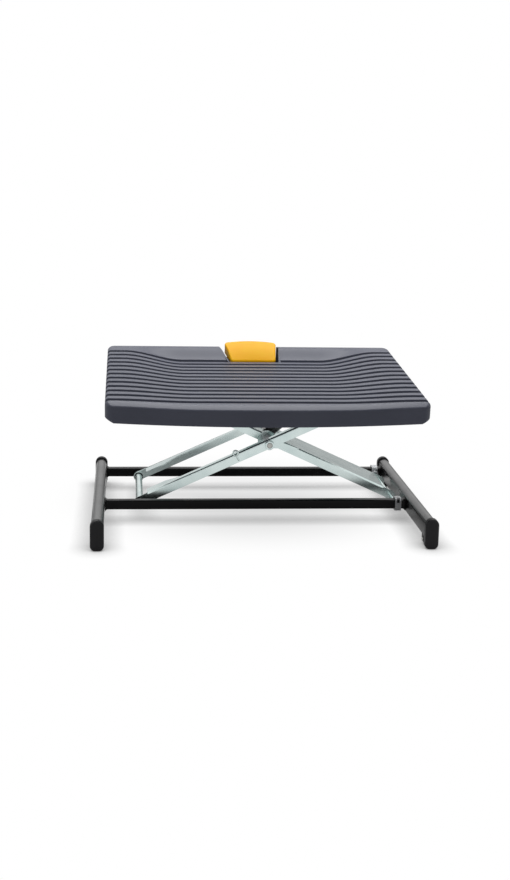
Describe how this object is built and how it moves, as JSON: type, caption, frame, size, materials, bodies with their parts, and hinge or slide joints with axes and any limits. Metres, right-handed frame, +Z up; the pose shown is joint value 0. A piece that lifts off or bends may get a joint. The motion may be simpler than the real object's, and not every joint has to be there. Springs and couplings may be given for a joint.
{
  "type": "footrest",
  "caption": "Height-adjustable footrest: a sloping grooved footplate on a scissor lift between two tube feet, held by a gas spring that a toe pedal unlocks.",
  "frame": {"origin": "centre of the footprint's bounding box, on the floor", "axes": "+X from the left foot to the right foot, +Y to the rear, raised edge of the footplate, +Z up"},
  "size_m": [0.4894, 0.3996, 0.2446],
  "materials": {
    "black_paint": "glossy black powder coat",
    "black_plastic": "satin black moulding",
    "grey_plastic": "satin grey moulding",
    "white_plastic": "satin off-white moulding",
    "zinc_plate": "bright zinc-plated sheet with a faint blue-green tint",
    "bare_steel": "turned bright steel",
    "plate_plastic": "fine-grained blue-grey moulding",
    "amber_plastic": "glossy amber moulding"
  },
  "bodies": {
    "base": {"left_side_tube": "black_paint", "right_side_tube": "black_paint", "front_cross_tube": "black_paint", "rear_cross_tube": "black_paint", "lower_pivot_rod": "zinc_plate", "left_front_end_cap": "black_plastic", "left_rear_end_cap": "black_plastic", "right_front_end_cap": "black_plastic", "right_rear_end_cap": "black_plastic", "left_front_cap_screw": "bare_steel", "left_rear_cap_screw": "bare_steel", "right_front_cap_screw": "bare_steel", "right_rear_cap_screw": "bare_steel"},
    "outer_frame": {"front_outer_arm": "zinc_plate", "front_arm_bush": "black_plastic", "front_axle_nut": "zinc_plate", "front_axle_spacer": "grey_plastic", "front_roller_pin": "bare_steel", "rear_outer_arm": "zinc_plate", "rear_arm_bush": "black_plastic", "rear_axle_nut": "zinc_plate", "rear_axle_spacer": "grey_plastic", "rear_roller_pin": "bare_steel", "crossing_axle": "bare_steel", "front_arm_lug": "zinc_plate", "front_eye_sleeve": "zinc_plate", "rear_eye_sleeve": "zinc_plate"},
    "front_roller": {"front_roller": "white_plastic"},
    "rear_roller": {"rear_roller": "white_plastic"},
    "inner_frame": {"inner_frame": "zinc_plate"},
    "lower_slide": {"front_slide_shoe": "grey_plastic", "rear_slide_shoe": "grey_plastic", "slide_rod": "zinc_plate"},
    "carriage": {"footplate": "plate_plastic", "front_rail": "zinc_plate", "rear_rail": "zinc_plate", "upper_pivot_rod": "zinc_plate", "spring_bracket": "zinc_plate", "spring_top_pin": "bare_steel", "front_left_plate_screw": "bare_steel", "front_right_plate_screw": "bare_steel", "rear_left_plate_screw": "bare_steel", "rear_right_plate_screw": "bare_steel"},
    "pedal": {"pedal": "amber_plastic", "pedal_lever": "zinc_plate", "release_shaft": "bare_steel", "release_finger": "zinc_plate"},
    "gas_cylinder": {"gas_cylinder": "black_paint"},
    "gas_rod": {"gas_spring_rod": "bare_steel", "spring_head": "zinc_plate"},
    "release_pin": {"release_pin": "bare_steel"}
  },
  "joints": [
    {"name": "lift", "type": "hinge", "parent": "base", "child": "outer_frame", "pos_m": [-0.1745, 0.06382, 0.023], "axis": [0, -1, 0], "range_deg": [0, 18]},
    {"name": "scissor_crossing", "type": "hinge", "parent": "outer_frame", "child": "inner_frame", "pos_m": [0.02016, 0.06382, 0.1113], "axis": [0, -1, 0], "range_deg": [-36, 0]},
    {"name": "upper_pivot", "type": "hinge", "parent": "inner_frame", "child": "carriage", "pos_m": [-0.1745, 0.06382, 0.1996], "axis": [0, -1, 0], "range_deg": [0, 18]},
    {"name": "lower_slide_pivot", "type": "hinge", "parent": "inner_frame", "child": "lower_slide", "pos_m": [0.21482, 0.06382, 0.023], "axis": [0, -1, 0], "range_deg": [0, 18]},
    {"name": "spring_lower_pivot", "type": "hinge", "parent": "outer_frame", "child": "gas_cylinder", "pos_m": [0.02016, 0.06382, 0.1113], "axis": [0, -1, 0], "range_deg": [-14.4, 0]},
    {"name": "spring_stroke", "type": "slide", "parent": "gas_cylinder", "child": "gas_rod", "axis": [0.7518, 0, 0.6594], "range_m": [0, 0.066]},
    {"name": "pedal_press", "type": "hinge", "parent": "carriage", "child": "pedal", "pos_m": [0.0037, 0.04182, 0.198], "axis": [-1, 0, 0], "range_deg": [0, 2.5], "stiffness_Nm_per_rad": 20, "springref_deg": -2.86},
    {"name": "release_pin_press", "type": "slide", "parent": "gas_rod", "child": "release_pin", "axis": [-0.7518, 0, -0.6594], "range_m": [0, 0.001]},
    {"name": "front_roller_spin", "type": "hinge", "parent": "outer_frame", "child": "front_roller", "pos_m": [0.21482, 0.00382, 0.1996], "axis": [0, 1, 0], "continuous": true},
    {"name": "rear_roller_spin", "type": "hinge", "parent": "outer_frame", "child": "rear_roller", "pos_m": [0.21482, 0.12382, 0.1996], "axis": [0, 1, 0], "continuous": true}
  ],
  "couplings": [
    {"joint": "scissor_crossing", "follows": "lift", "ratio": -2},
    {"joint": "upper_pivot", "follows": "lift", "ratio": 1},
    {"joint": "lower_slide_pivot", "follows": "lift", "ratio": 1},
    {"joint": "spring_lower_pivot", "follows": "lift", "ratio": -0.6429},
    {"joint": "spring_stroke", "follows": "lift", "m_per_rad": 0.20617},
    {"joint": "release_pin_press", "follows": "pedal_press", "m_per_rad": 0.02269}
  ]
}
